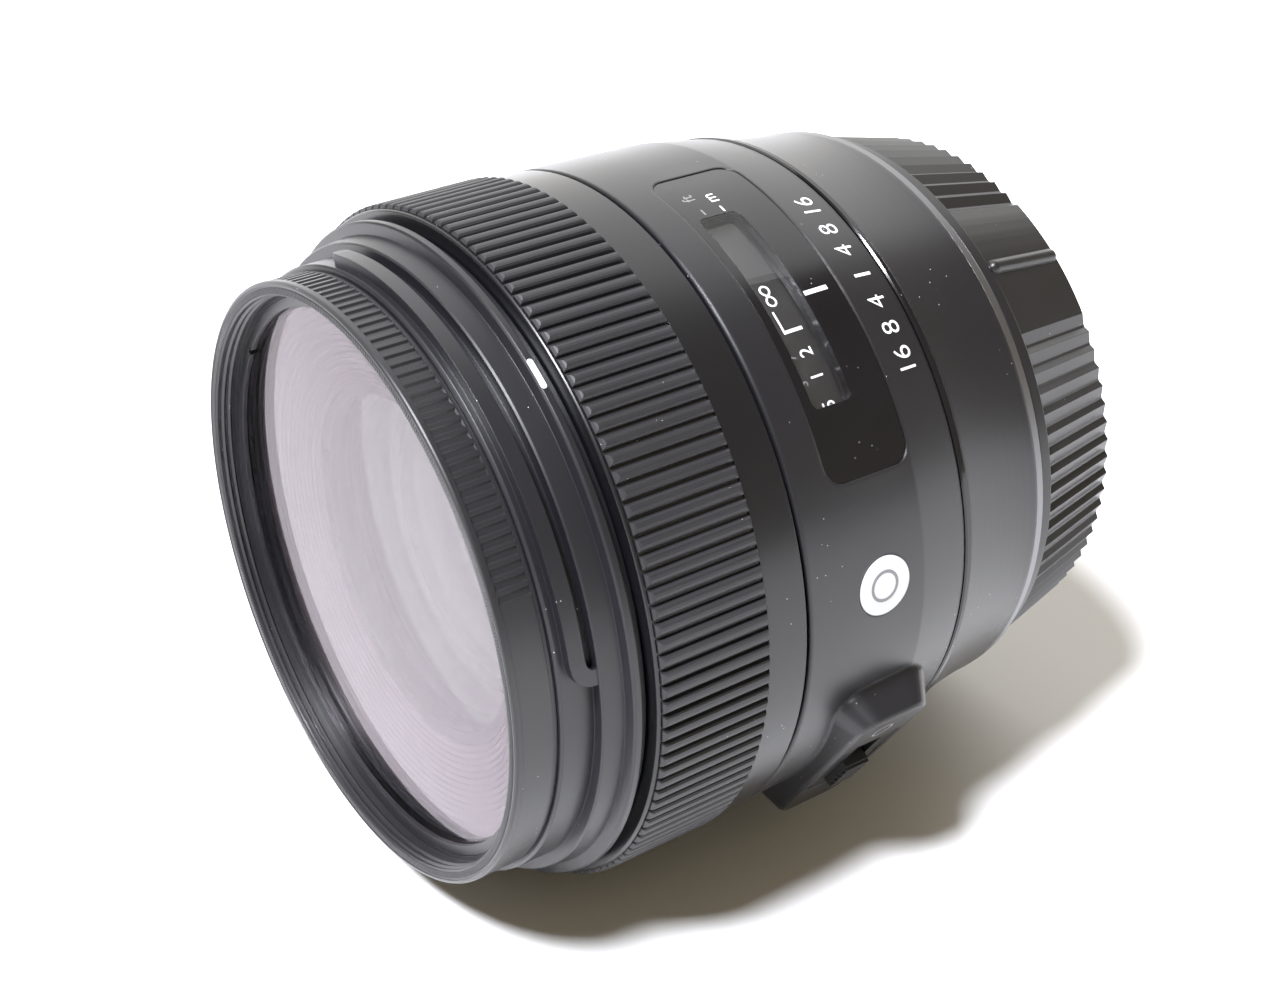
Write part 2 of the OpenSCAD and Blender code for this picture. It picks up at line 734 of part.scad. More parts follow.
module main_board() {
    color("darkgreen") lay() difference() {
        tube_arc(27.6, 31.3, 2.6, 3.6, -50, 230);
        for (a = screw_angles) post(screw_r + 0.1, 2, 4, screw_circle_r, a);
    }
}

module mount_bayonet() {
    neck_r = 25.2;
    color("silver") lay() difference() {
        union() {
            turned([
                [23.4, -6], [neck_r - 0.2, -6], [neck_r, -5.8], [neck_r, 0], [33.2, 0], [33.25, 0.05],
                [33.25, 0.85], [33.2, flange_z[1]], [23.4, flange_z[1]]
            ]);
            for (a = lug_angles) tube_arc(24.8, 26.7, -3.9, -2.4, a - 27, a + 27);
        }
        for (a = screw_angles) {
            post(screw_r + 0.1, -1, 2, screw_circle_r, a);
            rotate([0, 0, a]) translate([screw_circle_r, 0, -eps]) cylinder(h = 0.6, r1 = 1.55, r2 = screw_r + 0.1, $fn = 48);
        }
    }
}

module mount_screws() {
    color("silver") lay() for (a = screw_angles) rotate([0, 0, a]) translate([screw_circle_r, 0, 0]) difference() {
        union() {
            translate([0, 0, 0.03]) cylinder(h = 0.5, r1 = 1.42, r2 = screw_r, $fn = 48);
            translate([0, 0, 0.5]) cylinder(h = 4.6, r = screw_r, $fn = 48);
        }
        translate([-0.9, -0.14, -0.1]) cube([1.8, 0.28, 0.35]);
        translate([-0.14, -0.9, -0.1]) cube([0.28, 1.8, 0.35]);
    }
}

// Block with the electrical contacts, at the bottom of the throat
contact_arc = [238, 302];
contact_count = 7;

module contact_block() {
    color("black") lay() difference() {
        tube_arc(20.2, 23.38, -6, -2.65, contact_arc[0], contact_arc[1]);
        for (i = [0:contact_count - 1]) post(0.62, -6.5, -3, 21.8, contact_angle(i));
    }
}

function contact_angle(i) = contact_arc[0] + 8 + i * 8;

module contact_pins() {
    color("gold") lay() for (i = [0:contact_count - 1]) post(0.6, -6.25, -3.1, 21.8, contact_angle(i));
}

module rear_baffle() {
    color("black") lay() turned([[15.4, -2.6], [23.38, -2.6], [23.38, -1.4], [22, -1.4], [22, -1.9], [15.4, -1.9]]);
}

// ---------- rear cap ----------

// Angles at the middle of the cap's two smooth fields, each with a raised bar
cap_bar_angles = [86, 266];
cap_rib_depth = 0.5;
// Shallow ring sunk into the cap's flat back
cap_groove_r = [20.5, 24.5];

// True where the cap's side is ribbed
function cap_ribbed(a) = min([for (b = cap_bar_angles) abs(a - b + 1)]) > 13.2;
function cap_points() = [
    for (i = [0:360 / cap_rib_pitch - 1])
        let (a = i * cap_rib_pitch)
            for (part = [[0, 0], [0.28, 1], [0.42, 1]])
                polar(cap_front_r - (cap_ribbed(a) ? cap_rib_depth * part[1] : 0), a + part[0] * cap_rib_pitch)
];

module rear_cap() {
    z0 = cap_z[0];
    lip_z = -1.75;
    lip_r = cap_front_r + 0.1;
    wall = 1.9;
    color("dimgray") lay() {
        difference() {
            union() {
                turned([
                    [cap_front_r - 1.5, lip_z - 0.4], [lip_r - 0.15, lip_z - 0.4], [lip_r, lip_z - 0.2],
                    [lip_r, cap_z[1] - 0.2], [lip_r - 0.2, cap_z[1]], [cap_front_r - 1.5, cap_z[1]]
                ]);
                translate([0, 0, lip_z]) mirror([0, 0, 1])
                    linear_extrude(height = lip_z - z0, scale = cap_back_r / cap_front_r) polygon(cap_points());
                for (a = cap_bar_angles) rotate([0, 0, a]) hull() {
                    translate([cap_front_r - 0.4, 0, lip_z - 1.2]) sphere(r = 0.85, $fn = 24);
                    translate([cap_back_r, 0, z0 + 0.86]) sphere(r = 0.85, $fn = 24);
                }
            }
            turned([
                [0, z0 + 1.6], [cap_back_r - wall, z0 + 1.6], [cap_front_r - wall, lip_z - 0.5],
                [cap_front_r - wall, 1], [0, 1]
            ]);
            tube(cap_groove_r[0], cap_groove_r[1], z0 - 1, z0 + 0.5);
        }
        for (a = lug_angles) tube_arc(25.9, cap_front_r - 1.2, -2.2, -1.2, a + 60 - 24, a + 60 + 24);
    }
}

filter_frame();
filter_glass();
filter_retaining_ring();
front_barrel();
front_baffle();
front_cell();
front_retaining_ring();
front_element();
element_2();
element_3();
element_4();
focus_ring_sleeve();
focus_grip();
focus_drive_ring();
main_barrel();
window_plate();
scale_window();
badge();
switch_plate();
switch_knob();
trim_ring();
inner_barrel();
motor_wave_spring();
motor_stator();
motor_rotor();
roller_carrier();
roller(follower_angles[0]);  // roller_1
roller(follower_angles[1]);  // roller_2
roller(follower_angles[2]);  // roller_3
distance_scale_ring();
focus_cam_ring();
diaphragm_base();
diaphragm_cover();
aperture_drive_ring();
aperture_pinion();
aperture_motor();
aperture_blade(1);  // aperture_blade_1
aperture_blade(2);  // aperture_blade_2
aperture_blade(3);  // aperture_blade_3
aperture_blade(4);  // aperture_blade_4
aperture_blade(5);  // aperture_blade_5
aperture_blade(6);  // aperture_blade_6
aperture_blade(7);  // aperture_blade_7
aperture_blade(8);  // aperture_blade_8
aperture_blade(9);  // aperture_blade_9
focus_cell();
cam_followers();
element_5();
element_6();
element_7();
element_8();
element_9();
rear_barrel();
main_board();
mount_bayonet();
mount_screws();
contact_block();
contact_pins();
rear_baffle();
rear_cap();
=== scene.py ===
import logging
import math
from dataclasses import dataclass, field
from enum import Enum
from typing import Sequence

import bpy
from mathutils import Matrix, Vector
from mathutils.bvhtree import BVHTree


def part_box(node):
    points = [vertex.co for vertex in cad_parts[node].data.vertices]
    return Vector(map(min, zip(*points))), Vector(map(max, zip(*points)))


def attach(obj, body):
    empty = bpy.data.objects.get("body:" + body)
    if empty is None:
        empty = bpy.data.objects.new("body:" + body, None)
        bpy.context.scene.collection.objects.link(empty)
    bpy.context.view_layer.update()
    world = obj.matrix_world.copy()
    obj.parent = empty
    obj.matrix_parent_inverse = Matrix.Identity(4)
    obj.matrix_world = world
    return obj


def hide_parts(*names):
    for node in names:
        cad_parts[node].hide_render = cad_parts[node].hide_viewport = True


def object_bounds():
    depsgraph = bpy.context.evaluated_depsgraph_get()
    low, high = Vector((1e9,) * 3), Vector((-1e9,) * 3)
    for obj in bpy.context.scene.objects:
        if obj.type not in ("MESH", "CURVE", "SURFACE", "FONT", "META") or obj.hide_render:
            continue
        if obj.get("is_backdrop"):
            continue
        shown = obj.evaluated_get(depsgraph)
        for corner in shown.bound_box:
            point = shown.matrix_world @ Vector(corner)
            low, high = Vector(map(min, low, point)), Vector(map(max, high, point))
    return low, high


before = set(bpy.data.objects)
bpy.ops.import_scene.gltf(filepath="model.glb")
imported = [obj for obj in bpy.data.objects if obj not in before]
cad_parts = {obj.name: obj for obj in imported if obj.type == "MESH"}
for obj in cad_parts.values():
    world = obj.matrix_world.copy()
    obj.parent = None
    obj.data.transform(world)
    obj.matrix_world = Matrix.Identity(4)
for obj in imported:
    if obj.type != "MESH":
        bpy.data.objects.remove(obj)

LOG = logging.getLogger("lens")
MM = 0.001
LIE_ROLL = 33.6
MERGE_WITHIN = 1e-7
ON_AXIS_WITHIN = 1e-9
Colour = tuple[float, float, float]
Place = tuple[float, float]


class Body(Enum):
    """The moving bodies that new pieces ride on."""

    BARREL = "barrel"
    FILTER = "filter"
    SCALE = "roller_carrier"


class Slot(Enum):
    """The part's material slots, by name. No new piece takes its finish from them."""

    WHITE = "badge_white"
    FILTER = "filter_black"
    GLASS = "element_clear"


# ---------------------------------------------------------------- places on the lens


def on_lens(radius: float, angle: float, height: float) -> Vector:
    """Turns a place on the lens into a place in the room.

    Args:
        radius: Distance from the optical axis, in millimetres.
        angle: Angle round the axis in degrees, 90 at the top of the lens as it is held.
        height: Distance in front of the mount flange, in millimetres.

    Returns:
        The place in metres, with the lens lying on its side.
    """
    turn = math.radians(angle - LIE_ROLL)
    return Vector((radius * math.cos(turn), -height, radius * math.sin(turn))) * MM


def deselect_all() -> None:
    """Leaves edit mode and clears the selection."""
    if bpy.context.object and bpy.context.object.mode != "OBJECT":
        bpy.ops.object.mode_set(mode="OBJECT")
    bpy.ops.object.select_all(action="DESELECT")


def finish_piece(piece: bpy.types.Object, name: str, body: Body, material: bpy.types.Material) -> bpy.types.Object:
    """Names, dresses and mounts a finished piece.

    Args:
        piece: The mesh object, with its place in its mesh.
        name: The piece's name.
        body: The moving body that it rides on.
        material: Its finish.

    Returns:
        The same object.
    """
    piece.name = name
    piece.data.name = name
    piece.data.materials.clear()
    piece.data.materials.append(material)
    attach(piece, body.value)
    LOG.info("%s: %d faces, rides on %s", name, len(piece.data.polygons), body.value)
    return piece


def recalculate_outside(piece: bpy.types.Object) -> None:
    """Merges doubled points and turns all faces outwards.

    Args:
        piece: The mesh object.
    """
    deselect_all()
    piece.select_set(True)
    bpy.context.view_layer.objects.active = piece
    bpy.ops.object.mode_set(mode="EDIT")
    bpy.ops.mesh.select_all(action="SELECT")
    bpy.ops.mesh.remove_doubles(threshold=MERGE_WITHIN)
    bpy.ops.mesh.normals_make_consistent(inside=False)
    bpy.ops.object.mode_set(mode="OBJECT")


def turn_on_lathe(outline: Sequence[tuple[float, float]], steps: int) -> bpy.types.Object:
    """Spins a closed outline round the optical axis.

    Args:
        outline: Radius and height of each point, in millimetres. Edges that lie on the axis aren't turned.
        steps: Number of faces round the piece.

    Returns:
        The turned mesh object.
    """
    deselect_all()
    bpy.ops.mesh.primitive_circle_add(vertices=len(outline), radius=1.0)
    piece = bpy.context.object
    for vertex, (radius, height) in zip(piece.data.vertices, outline):
        vertex.co = Vector((radius, -height, 0.0)) * MM
    bpy.ops.object.mode_set(mode="EDIT")
    bpy.ops.mesh.select_all(action="DESELECT")
    bpy.ops.object.mode_set(mode="OBJECT")
    for edge in piece.data.edges:
        edge.select = all(abs(piece.data.vertices[end].co.x) < ON_AXIS_WITHIN for end in edge.vertices)
    bpy.ops.object.mode_set(mode="EDIT")
    bpy.ops.mesh.select_mode(type="EDGE")
    bpy.ops.mesh.delete(type="EDGE")
    bpy.ops.mesh.select_mode(type="VERT")
    bpy.ops.mesh.select_all(action="SELECT")
    bpy.ops.mesh.spin(steps=steps, angle=math.tau, center=(0.0, 0.0, 0.0), axis=(0.0, 1.0, 0.0))
    bpy.ops.object.mode_set(mode="OBJECT")
    recalculate_outside(piece)
    return piece


def smooth_over(piece: bpy.types.Object, degrees: float) -> None:
    """Shades a piece smooth, apart from its sharper edges.

    Args:
        piece: The mesh object.
        degrees: The angle from which an edge stays sharp.
    """
    deselect_all()
    piece.select_set(True)
    bpy.context.view_layer.objects.active = piece
    bpy.ops.object.shade_smooth_by_angle(angle=math.radians(degrees))


@dataclass
class Surface:
    """The outer surface of a carried-over node, felt from outside so that paint follows it.

    Lengths are in millimetres.
    """

    node: str
    nominal_r: float
    start_above: float = 3.0
    reach: float = 6.0
    tree: BVHTree = field(init=False)

    def __post_init__(self) -> None:
        """Builds the search tree over the node's faces."""
        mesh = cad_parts[self.node].data
        points = [vertex.co for vertex in mesh.vertices]
        faces = [tuple(polygon.vertices) for polygon in mesh.polygons]
        self.tree = BVHTree.FromPolygons(points, faces)

    def radius(self, angle: float, height: float) -> float:
        """Feels how far the surface stands from the optical axis.

        Args:
            angle: Angle round the axis.
            height: Distance in front of the flange.

        Returns:
            The radius there, or the nominal one where nothing is felt.
        """
        start = on_lens(self.nominal_r + self.start_above, angle, height)
        inwards = (on_lens(0.0, angle, height) - start).normalized()
        place = self.tree.ray_cast(start, inwards, self.reach * MM)[0]
        return self.nominal_r if place is None else math.hypot(place.x, place.z) / MM


def wrap(piece: bpy.types.Object, surface: Surface, angle: float, height: float) -> None:
    """Bends a flat piece round the lens: its own X runs round it, and its own Y runs forwards along the axis.

    Args:
        piece: A mesh object whose own sizes are in millimetres.
        surface: The surface that it lies on.
        angle: Angle of its middle.
        height: Height of its middle.
    """
    for vertex in piece.data.vertices:
        across, along, up = vertex.co
        at_angle = angle + math.degrees(across / surface.nominal_r)
        at_height = height + along
        vertex.co = on_lens(surface.radius(at_angle, at_height) + up, at_angle, at_height)
    piece.data.update()


# ---------------------------------------------------------------- shader node helpers


def add_node(tree: bpy.types.NodeTree, kind: str, **settings: object) -> bpy.types.Node:
    """Adds a node to a tree.

    Args:
        tree: The node tree.
        kind: The node's type name, without the ShaderNode in front.
        **settings: Attributes to set on the node.

    Returns:
        The new node.
    """
    new = tree.nodes.new("ShaderNode" + kind)
    for key, value in settings.items():
        setattr(new, key, value)
    return new


def start_group(name: str, inputs: dict[str, float], outputs: dict[str, str]) -> tuple:
    """Makes an empty node group with its sockets.

    Args:
        name: The group's name.
        inputs: Input names and their default numbers.
        outputs: Output names and their socket kinds.

    Returns:
        The tree, its input node and its output node.
    """
    tree = bpy.data.node_groups.new(name, "ShaderNodeTree")
    for label, value in inputs.items():
        socket = tree.interface.new_socket(label, in_out="INPUT", socket_type="NodeSocketFloat")
        socket.default_value = value
    for label, kind in outputs.items():
        tree.interface.new_socket(label, in_out="OUTPUT", socket_type=kind)
    return tree, tree.nodes.new("NodeGroupInput"), tree.nodes.new("NodeGroupOutput")


def maths(tree: bpy.types.NodeTree, operation: str, first: object, second: object) -> bpy.types.NodeSocket:
    """Joins two values with a Math node.

    Args:
        tree: The node tree.
        operation: Name of the operation.
        first: A socket or a number.
        second: A socket or a number.

    Returns:
        The result's socket.
    """
    step = add_node(tree, "Math", operation=operation)
    for index, value in enumerate((first, second)):
        if isinstance(value, bpy.types.NodeSocket):
            tree.links.new(value, step.inputs[index])
        else:
            step.inputs[index].default_value = value
    return step.outputs[0]


def build_grain_group() -> bpy.types.NodeTree:
    """Makes the fine grain of moulded and painted surfaces.

    Returns:
        The group, with the outputs Height, Roughness and Drift.
    """
    tree, given, result = start_group(
        "fine_grain",
        {"Scale": 4000.0, "Roughness": 0.4, "Spread": 0.08, "Drift Scale": 60.0},
        {"Height": "NodeSocketFloat", "Roughness": "NodeSocketFloat", "Drift": "NodeSocketFloat"},
    )
    place = add_node(tree, "TexCoord")
    grain = add_node(tree, "TexNoise")
    grain.inputs["Detail"].default_value = 3.0
    grain.inputs["Roughness"].default_value = 0.6
    drift = add_node(tree, "TexNoise")
    drift.inputs["Detail"].default_value = 5.0
    tree.links.new(place.outputs["Object"], grain.inputs["Vector"])
    tree.links.new(place.outputs["Object"], drift.inputs["Vector"])
    tree.links.new(given.outputs["Scale"], grain.inputs["Scale"])
    tree.links.new(given.outputs["Drift Scale"], drift.inputs["Scale"])
    swing = maths(tree, "SUBTRACT", drift.outputs["Fac"], 0.5)
    spread = maths(tree, "MULTIPLY", swing, given.outputs["Spread"])
    rough = maths(tree, "ADD", spread, given.outputs["Roughness"])
    tree.links.new(grain.outputs["Fac"], result.inputs["Height"])
    tree.links.new(rough, result.inputs["Roughness"])
    tree.links.new(drift.outputs["Fac"], result.inputs["Drift"])
    return tree


def build_dust_group() -> bpy.types.NodeTree:
    """Makes a mask of dust: specks where the slow noise is high, and a faint film.

    Returns:
        The group, with one output, Mask.
    """
    patch_scale = 130.0
    patch_floor = 0.58
    tree, given, result = start_group(
        "dust_specks",
        {"Scale": 900.0, "Cut": 0.04, "Film": 0.0},
        {"Mask": "NodeSocketFloat"},
    )
    place = add_node(tree, "TexCoord")
    cells = add_node(tree, "TexVoronoi", feature="F1")
    cells.inputs["Randomness"].default_value = 1.0
    rare = add_node(tree, "TexNoise")
    rare.inputs["Scale"].default_value = patch_scale
    rare.inputs["Detail"].default_value = 2.0
    for part in (cells, rare):
        tree.links.new(place.outputs["Object"], part.inputs["Vector"])
    tree.links.new(given.outputs["Scale"], cells.inputs["Scale"])
    speck = maths(tree, "LESS_THAN", cells.outputs["Distance"], given.outputs["Cut"])
    patch = maths(tree, "GREATER_THAN", rare.outputs["Fac"], patch_floor)
    specks = maths(tree, "MULTIPLY", speck, patch)
    film = maths(tree, "MULTIPLY", rare.outputs["Fac"], given.outputs["Film"])
    total = maths(tree, "ADD", specks, film)
    tree.links.new(total, result.inputs["Mask"])
    return tree


def build_turning_group() -> bpy.types.NodeTree:
    """Makes the fine rings that a lathe leaves, from the distance along the optical axis and from it.

    Returns:
        The group, with one output, Height.
    """
    tree, given, result = start_group(
        "turning_marks",
        {"Pitch": 9000.0, "Facing": 0.0},
        {"Height": "NodeSocketFloat"},
    )
    place = add_node(tree, "TexCoord")
    split = add_node(tree, "SeparateXYZ")
    tree.links.new(place.outputs["Object"], split.inputs[0])
    square_x = maths(tree, "MULTIPLY", split.outputs["X"], split.outputs["X"])
    square_z = maths(tree, "MULTIPLY", split.outputs["Z"], split.outputs["Z"])
    away = maths(tree, "SQRT", maths(tree, "ADD", square_x, square_z), 0.0)
    radial = maths(tree, "MULTIPLY", away, given.outputs["Facing"])
    line = maths(tree, "MULTIPLY", maths(tree, "ADD", split.outputs["Y"], radial), given.outputs["Pitch"])
    wave = add_node(tree, "TexNoise", noise_dimensions="1D")
    wave.inputs["Scale"].default_value = 1.0
    wave.inputs["Detail"].default_value = 2.0
    tree.links.new(line, wave.inputs["W"])
    tree.links.new(wave.outputs["Fac"], result.inputs["Height"])
    return tree


@dataclass
class SharedEffects:
    """The node groups that several finishes use."""

    grain: bpy.types.NodeTree = field(default_factory=build_grain_group)
    dust: bpy.types.NodeTree = field(default_factory=build_dust_group)
    turning: bpy.types.NodeTree = field(default_factory=build_turning_group)


# ---------------------------------------------------------------- finishes


@dataclass(frozen=True)
class SolidFinish:
    """A moulded, painted or metal finish with fine grain, colour drift, dust and turning marks.

    Lengths are in millimetres.
    """

    name: str
    colour: Colour
    roughness: float = 0.4
    spread: float = 0.08
    metallic: float = 0.0
    specular: float = 0.5
    coat: float = 0.0
    coat_roughness: float = 0.1
    grain_scale: float = 4000.0
    grain_depth: float = 0.004
    drift: float = 0.25
    dust_cut: float = 0.05
    dust_scale: float = 900.0
    dust_film: float = 0.02
    dust_colour: Colour = (0.5, 0.49, 0.48)
    turned: float = 0.0
    facing: float = 0.0
    edge: float = 0.0

    def build(self, effects: SharedEffects) -> bpy.types.Material:
        """Builds the material.

        Args:
            effects: The shared node groups.

        Returns:
            The material.
        """
        material = bpy.data.materials.new(self.name)
        material.use_nodes = True
        tree = material.node_tree
        shader = tree.nodes["Principled BSDF"]
        shader.inputs["Metallic"].default_value = self.metallic
        shader.inputs["Specular IOR Level"].default_value = self.specular
        shader.inputs["Coat Weight"].default_value = self.coat
        shader.inputs["Coat Roughness"].default_value = self.coat_roughness
        grain = add_node(tree, "Group", node_tree=effects.grain)
        grain.inputs["Scale"].default_value = self.grain_scale
        grain.inputs["Roughness"].default_value = self.roughness
        grain.inputs["Spread"].default_value = self.spread
        tree.links.new(grain.outputs["Roughness"], shader.inputs["Roughness"])
        tree.links.new(self.shade(tree, grain, effects), shader.inputs["Base Color"])
        tree.links.new(self.relief(tree, grain, effects), shader.inputs["Normal"])
        return material

    def shade(self, tree: bpy.types.NodeTree, grain: bpy.types.Node,
              effects: SharedEffects) -> bpy.types.NodeSocket:
        """Mixes the base colour with its drift and its dust.

        Args:
            tree: The material's tree.
            grain: The grain group's node.
            effects: The shared node groups.

        Returns:
            The colour's socket.
        """
        drifting = add_node(tree, "Mix", data_type="RGBA")
        darker = [channel * (1.0 - self.drift) for channel in self.colour]
        lighter = [channel * (1.0 + self.drift) for channel in self.colour]
        drifting.inputs["A"].default_value = (*darker, 1.0)
        drifting.inputs["B"].default_value = (*lighter, 1.0)
        tree.links.new(grain.outputs["Drift"], drifting.inputs["Factor"])
        dust = add_node(tree, "Group", node_tree=effects.dust)
        dust.inputs["Scale"].default_value = self.dust_scale
        dust.inputs["Cut"].default_value = self.dust_cut
        dust.inputs["Film"].default_value = self.dust_film
        dusty = add_node(tree, "Mix", data_type="RGBA")
        dusty.inputs["B"].default_value = (*self.dust_colour, 1.0)
        tree.links.new(dust.outputs["Mask"], dusty.inputs["Factor"])
        tree.links.new(drifting.outputs["Result"], dusty.inputs["A"])
        return dusty.outputs["Result"]

    def relief(self, tree: bpy.types.NodeTree, grain: bpy.types.Node,
               effects: SharedEffects) -> bpy.types.NodeSocket:
        """Adds the softened edges, the grain's bump, and the lathe's rings where the piece was turned.

        Args:
            tree: The material's tree.
            grain: The grain group's node.
            effects: The shared node groups.

        Returns:
            The normal's socket.
        """
        bump = add_node(tree, "Bump")
        bump.inputs["Distance"].default_value = self.grain_depth * MM
        tree.links.new(grain.outputs["Height"], bump.inputs["Height"])
        if self.edge > 0.0:
            softened = add_node(tree, "Bevel", samples=4)
            softened.inputs["Radius"].default_value = self.edge * MM
            tree.links.new(softened.outputs["Normal"], bump.inputs["Normal"])
        if self.turned <= 0.0:
            return bump.outputs["Normal"]
        marks = add_node(tree, "Group", node_tree=effects.turning)
        marks.inputs["Facing"].default_value = self.facing
        rings = add_node(tree, "Bump")
        rings.inputs["Distance"].default_value = self.turned * MM
        tree.links.new(marks.outputs["Height"], rings.inputs["Height"])
        tree.links.new(bump.outputs["Normal"], rings.inputs["Normal"])
        return rings.outputs["Normal"]


@dataclass(frozen=True)
class GlassFinish:
    """Clear glass with an optical coating and a few specks of dust.

    Its shadow is thinner than solid, so that light reaches what lies behind it.
    """

    name: str
    colour: Colour = (1.0, 1.0, 1.0)
    ior: float = 1.5
    reflection: Colour = (1.0, 1.0, 1.0)
    coat: float = 0.0
    coat_ior: float = 1.3
    shadow: float = 0.06
    speck_scale: float = 700.0
    speck_size: float = 0.035
    speck_colour: Colour = (0.8, 0.8, 0.8)
    speck_roughness: float = 0.05

    def build(self, effects: SharedEffects) -> bpy.types.Material:
        """Builds the material.

        Args:
            effects: The shared node groups.

        Returns:
            The material.
        """
        material = bpy.data.materials.new(self.name)
        material.use_nodes = True
        tree = material.node_tree
        shader = tree.nodes["Principled BSDF"]
        shader.inputs["Transmission Weight"].default_value = 1.0
        shader.inputs["IOR"].default_value = self.ior
        shader.inputs["Specular Tint"].default_value = (*self.reflection, 1.0)
        shader.inputs["Coat Weight"].default_value = self.coat
        shader.inputs["Coat IOR"].default_value = self.coat_ior
        shader.inputs["Coat Roughness"].default_value = 0.0
        specks = add_node(tree, "Group", node_tree=effects.dust)
        specks.inputs["Scale"].default_value = self.speck_scale
        specks.inputs["Cut"].default_value = self.speck_size
        tinted = add_node(tree, "Mix", data_type="RGBA")
        tinted.inputs["A"].default_value = (*self.colour, 1.0)
        tinted.inputs["B"].default_value = (*self.speck_colour, 1.0)
        tree.links.new(specks.outputs["Mask"], tinted.inputs["Factor"])
        tree.links.new(tinted.outputs["Result"], shader.inputs["Base Color"])
        rough = maths(tree, "MULTIPLY", specks.outputs["Mask"], self.speck_roughness)
        tree.links.new(rough, shader.inputs["Roughness"])
        path = add_node(tree, "LightPath")
        clear = maths(tree, "MULTIPLY", path.outputs["Is Shadow Ray"], self.shadow - 1.0)
        tree.links.new(maths(tree, "ADD", clear, 1.0), shader.inputs["Alpha"])
        return material


# ---------------------------------------------------------------- the finishes of this lens

FINISHES: dict[str, SolidFinish | GlassFinish] = {
    finish.name: finish
    for finish in (
        SolidFinish("barrel_enamel", (0.0075, 0.0075, 0.0095), 0.34, 0.06, grain_depth=0.003, dust_film=0.004,
                    edge=0.5),
        SolidFinish("ring_enamel", (0.0045, 0.0046, 0.006), 0.30, 0.05, grain_depth=0.002, dust_film=0.002,
                    edge=0.1),
        SolidFinish("front_enamel", (0.0075, 0.0076, 0.0105), 0.38, 0.06, grain_depth=0.003, dust_film=0.005,
                    edge=0.15),
        SolidFinish("grip_rubber", (0.010, 0.010, 0.0125), 0.5, 0.1, grain_depth=0.008, grain_scale=5000.0,
                    dust_cut=0.04, dust_film=0.012),
        SolidFinish("trim_gloss", (0.004, 0.004, 0.005), 0.12, 0.04, grain_depth=0.0005, dust_film=0.002),
        SolidFinish("plate_gloss", (0.003, 0.003, 0.0045), 0.2, 0.05, grain_depth=0.001, dust_film=0.002,
                    edge=0.1),
        SolidFinish("scale_black", (0.004, 0.004, 0.005), 0.5, 0.08, grain_depth=0.003),
        SolidFinish("badge_enamel", (0.5, 0.51, 0.52), 0.3, 0.05, grain_depth=0.001, drift=0.02,
                    dust_film=0.0, edge=0.06),
        SolidFinish("filter_anodised", (0.012, 0.012, 0.0145), 0.36, 0.08, grain_depth=0.004, dust_film=0.006,
                    turned=0.003, edge=0.1),
        SolidFinish("cell_paint", (0.004, 0.0036, 0.0045), 0.6, 0.1, specular=0.08, grain_depth=0.01,
                    dust_film=0.0),
        SolidFinish("baffle_flock", (0.034, 0.026, 0.031), 0.8, 0.1, specular=0.02, grain_depth=0.006,
                    dust_film=0.0),
        SolidFinish("machined_alloy", (0.62, 0.62, 0.64), 0.32, 0.1, metallic=1.0, turned=0.006, facing=1.0,
                    grain_depth=0.002, dust_film=0.0),
        SolidFinish("cam_brass", (0.72, 0.52, 0.24), 0.28, 0.1, metallic=1.0, turned=0.005, facing=1.0,
                    grain_depth=0.002, dust_film=0.0),
        SolidFinish("ground_steel", (0.55, 0.55, 0.57), 0.25, 0.1, metallic=1.0, turned=0.003, facing=1.0,
                    grain_depth=0.001, dust_film=0.0),
        SolidFinish("stator_bronze", (0.6, 0.42, 0.22), 0.35, 0.1, metallic=1.0, grain_depth=0.003,
                    dust_film=0.0),
        SolidFinish("blade_film", (0.02, 0.02, 0.022), 0.5, 0.1, metallic=0.4, grain_depth=0.003),
        SolidFinish("mount_plate", (0.2, 0.2, 0.21), 0.45, 0.08, metallic=1.0, turned=0.004, facing=1.0,
                    grain_depth=0.001, drift=0.06, dust_film=0.0),
        SolidFinish("contact_gold", (0.83, 0.6, 0.25), 0.22, 0.08, metallic=1.0, grain_depth=0.001,
                    dust_film=0.0),
        SolidFinish("moulded_black", (0.014, 0.014, 0.0145), 0.44, 0.08, grain_depth=0.005),
        SolidFinish("board_mask", (0.02, 0.13, 0.05), 0.3, 0.1, coat=0.4, grain_depth=0.002),
        SolidFinish("knob_moulding", (0.012, 0.012, 0.013), 0.38, 0.08, grain_depth=0.004, edge=0.1),
        SolidFinish("cap_moulding", (0.008, 0.008, 0.0092), 0.34, 0.08, grain_depth=0.005, dust_film=0.006,
                    edge=0.1),
        SolidFinish("marking_white", (0.75, 0.76, 0.78), 0.45, 0.08, drift=0.04, grain_depth=0.002,
                    dust_film=0.0),
        SolidFinish("marking_grey", (0.16, 0.16, 0.17), 0.5, 0.08, drift=0.08, grain_depth=0.002,
                    dust_film=0.0),
        GlassFinish("filter_glass", ior=1.31, reflection=(1.0, 0.42, 0.88), shadow=0.6),
        GlassFinish("coated_glass", colour=(0.99, 1.0, 0.99), ior=1.02, reflection=(0.95, 0.9, 1.0)),
        GlassFinish("front_glass", ior=1.02, coat=1.0, coat_ior=1.13),
        GlassFinish("inner_glass", ior=1.02, coat=1.0, coat_ior=1.1),
        GlassFinish("window_pane", ior=1.03, coat=1.0, coat_ior=1.33),
    )
}

